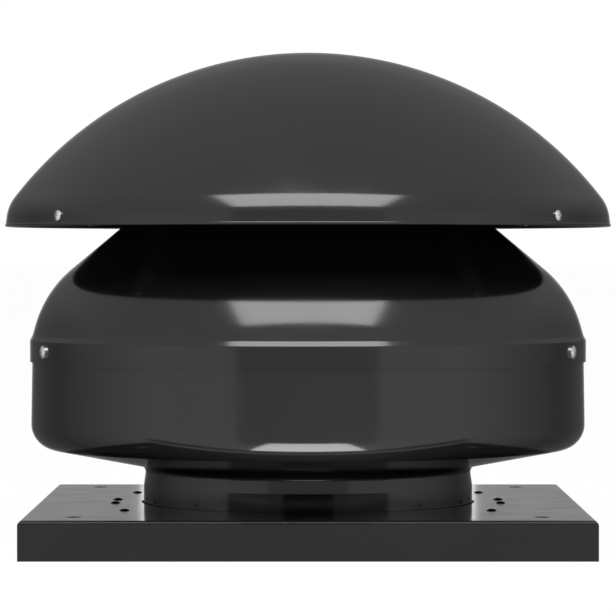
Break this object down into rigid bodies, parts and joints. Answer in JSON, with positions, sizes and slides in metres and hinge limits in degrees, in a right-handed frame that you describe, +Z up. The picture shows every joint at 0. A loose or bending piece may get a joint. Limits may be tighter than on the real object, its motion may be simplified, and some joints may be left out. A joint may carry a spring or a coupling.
{
  "type": "roof exhaust fan",
  "caption": "Round roof exhaust fan with a pressed casing on a folded base plate, a domed rain hood over its outlet and a turning backward-curved impeller inside.",
  "frame": {"origin": "middle of the base plate's underside, at the lower edge of its skirt", "axes": "+Z up along the impeller's axis, -Y towards the front, +X to the right"},
  "size_m": [0.336, 0.336, 0.2703],
  "materials": {
    "black_paint": "gloss black powder coat on steel sheet",
    "zinc_steel": "bright zinc-plated steel",
    "galvanised_sheet": "galvanised steel sheet",
    "bright_steel": "ground or drawn steel",
    "motor_paint": "black painted steel",
    "core_steel": "stacked core laminations",
    "cast_alloy": "die-cast aluminium",
    "winding": "varnished copper winding",
    "grey_plastic": "dark grey moulded plastic",
    "block_plastic": "pale moulded plastic",
    "can_aluminium": "drawn aluminium can",
    "lead_sheath": "black cable sheath"
  },
  "bodies": {
    "housing": {"base_plate": "black_paint", "inlet_nozzle": "galvanised_sheet", "collar_rivets": "black_paint", "lower_shell": "black_paint", "upper_shell": "black_paint", "band_screws": "zinc_steel", "band_nuts": "zinc_steel", "motor_spider": "galvanised_sheet", "outlet_guard": "bright_steel", "hood": "black_paint", "hood_bracket_1": "black_paint", "hood_bracket_2": "black_paint", "hood_bracket_3": "black_paint", "hood_bracket_4": "black_paint", "hood_screws": "zinc_steel", "hood_nuts": "zinc_steel", "bracket_rivets": "zinc_steel", "motor_flange": "cast_alloy", "motor_screws": "zinc_steel", "bearing_cap": "bright_steel", "stator_core": "core_steel", "stator_winding": "winding", "bearing_outer_rings": "bright_steel", "bearing_balls": "bright_steel", "wave_washer": "zinc_steel", "terminal_box": "grey_plastic", "terminal_box_lid": "grey_plastic", "box_screws": "zinc_steel", "terminal_block": "block_plastic", "run_capacitor": "can_aluminium", "motor_lead": "lead_sheath", "cable_gland": "grey_plastic", "gland_cap": "grey_plastic", "gland_locknut": "grey_plastic"},
    "rotor": {"shaft": "bright_steel", "circlip": "zinc_steel", "rotor_can": "motor_paint", "rotor_ring": "core_steel", "bearing_inner_rings": "bright_steel", "impeller_backplate": "galvanised_sheet", "impeller_blades": "galvanised_sheet", "impeller_shroud": "galvanised_sheet", "impeller_screws": "zinc_steel"}
  },
  "joints": [
    {"name": "impeller_spin", "type": "hinge", "parent": "housing", "child": "rotor", "pos_m": [0, 0, 0.08], "axis": [0, 0, 1], "continuous": true}
  ]
}
